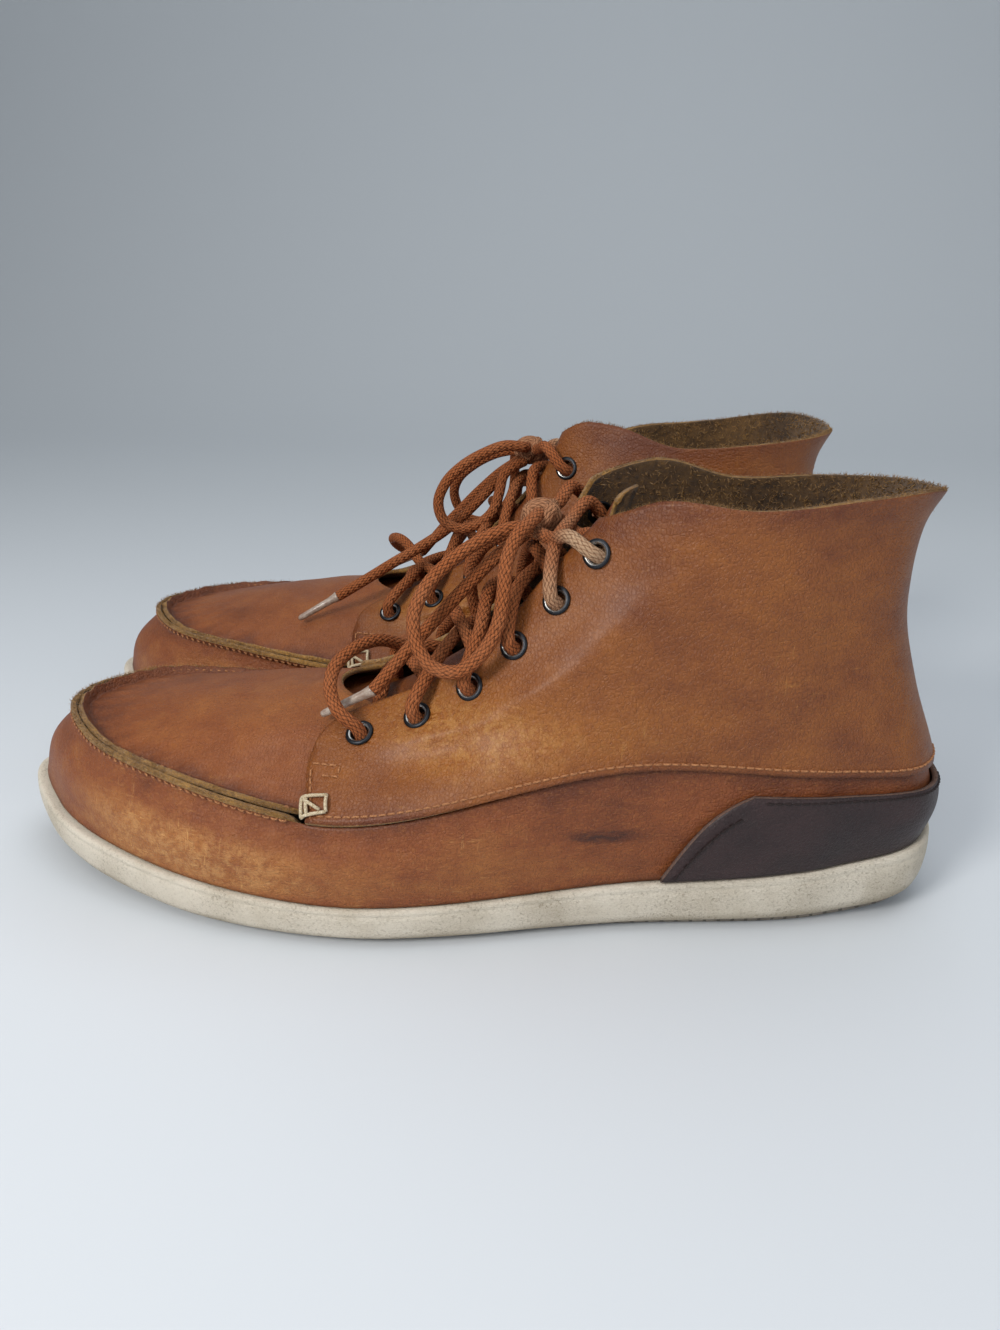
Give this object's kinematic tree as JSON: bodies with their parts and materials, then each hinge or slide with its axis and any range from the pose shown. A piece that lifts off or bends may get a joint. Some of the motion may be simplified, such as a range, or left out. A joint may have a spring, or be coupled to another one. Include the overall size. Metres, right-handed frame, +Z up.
{
  "type": "pair of lace-up deck boots",
  "caption": "Pair of ankle-high tan leather deck boots with a raised moccasin seam round the toe, round laces tied in bows, and pale cupped soles.",
  "frame": {"origin": "centre of the pair's footprint, on the ground", "axes": "+Z up, toes towards -X, left boot at -Y and right boot at +Y"},
  "size_m": [0.3226, 0.2232, 0.135],
  "materials": {
    "upper_leather": "smooth oiled tan leather with pores, creases and paler scuffs, a fuzzy suede inner face and raw golden edges",
    "wall_leather": "oiled tan leather, a little redder and more worn than the quarters",
    "patch_leather": "dark brown smooth leather with a stitched edge",
    "footbed_suede": "brown suede",
    "board": "pressed fibre board",
    "midsole_foam": "off-white expanded rubber, matt, finely crackled and slightly soiled",
    "outsole_rubber": "thin grey-brown rubber tread, dusty",
    "lace_braid": "round braided cotton, rust tan with dark flecks, frayed and pale where it rubs",
    "aglet_plastic": "clear film tip, slightly clouded",
    "eyelet_metal": "gunmetal plating, bright on the worn inner rim"
  },
  "bodies": {
    "left_boot": {"left_outsole": "outsole_rubber", "left_midsole": "midsole_foam", "left_insole_board": "board", "left_footbed": "footbed_suede", "left_side_wall": "wall_leather", "left_heel_patch": "patch_leather", "left_heel_stiffener": "board", "left_apron": "upper_leather", "left_quarter_lateral": "upper_leather", "left_eyelet_lateral_1": "eyelet_metal", "left_eyelet_lateral_2": "eyelet_metal", "left_eyelet_lateral_3": "eyelet_metal", "left_eyelet_lateral_4": "eyelet_metal", "left_eyelet_lateral_5": "eyelet_metal", "left_eyelet_lateral_6": "eyelet_metal", "left_quarter_medial": "upper_leather", "left_eyelet_medial_1": "eyelet_metal", "left_eyelet_medial_2": "eyelet_metal", "left_eyelet_medial_3": "eyelet_metal", "left_eyelet_medial_4": "eyelet_metal", "left_eyelet_medial_5": "eyelet_metal", "left_eyelet_medial_6": "eyelet_metal", "left_lace": "lace_braid", "left_loop_lateral": "lace_braid", "left_tail_lateral": "lace_braid", "left_aglet_lateral": "aglet_plastic", "left_loop_medial": "lace_braid", "left_tail_medial": "lace_braid", "left_aglet_medial": "aglet_plastic"},
    "left_tongue": {"left_tongue": "upper_leather"},
    "right_boot": {"right_outsole": "outsole_rubber", "right_midsole": "midsole_foam", "right_insole_board": "board", "right_footbed": "footbed_suede", "right_side_wall": "wall_leather", "right_heel_patch": "patch_leather", "right_heel_stiffener": "board", "right_apron": "upper_leather", "right_quarter_lateral": "upper_leather", "right_eyelet_lateral_1": "eyelet_metal", "right_eyelet_lateral_2": "eyelet_metal", "right_eyelet_lateral_3": "eyelet_metal", "right_eyelet_lateral_4": "eyelet_metal", "right_eyelet_lateral_5": "eyelet_metal", "right_eyelet_lateral_6": "eyelet_metal", "right_quarter_medial": "upper_leather", "right_eyelet_medial_1": "eyelet_metal", "right_eyelet_medial_2": "eyelet_metal", "right_eyelet_medial_3": "eyelet_metal", "right_eyelet_medial_4": "eyelet_metal", "right_eyelet_medial_5": "eyelet_metal", "right_eyelet_medial_6": "eyelet_metal", "right_lace": "lace_braid", "right_loop_lateral": "lace_braid", "right_tail_lateral": "lace_braid", "right_aglet_lateral": "aglet_plastic", "right_loop_medial": "lace_braid", "right_tail_medial": "lace_braid", "right_aglet_medial": "aglet_plastic"},
    "right_tongue": {"right_tongue": "upper_leather"}
  },
  "joints": [
    {"name": "pair_spacing", "type": "slide", "parent": "left_boot", "child": "right_boot", "axis": [0, 1, 0], "range_m": [0, 0.15]},
    {"name": "left_tongue_flex", "type": "hinge", "parent": "left_boot", "child": "left_tongue", "pos_m": [-0.05404, -0.05646, 0.0585], "axis": [-0.0175, 0.9998, 0], "range_deg": [0, 15], "stiffness_Nm_per_rad": 0.08, "springref_deg": -11.46},
    {"name": "right_tongue_flex", "type": "hinge", "parent": "right_boot", "child": "right_tongue", "pos_m": [-0.06694, 0.05646, 0.0585], "axis": [0.0175, 0.9998, 0], "range_deg": [0, 15], "stiffness_Nm_per_rad": 0.08, "springref_deg": -11.46}
  ]
}
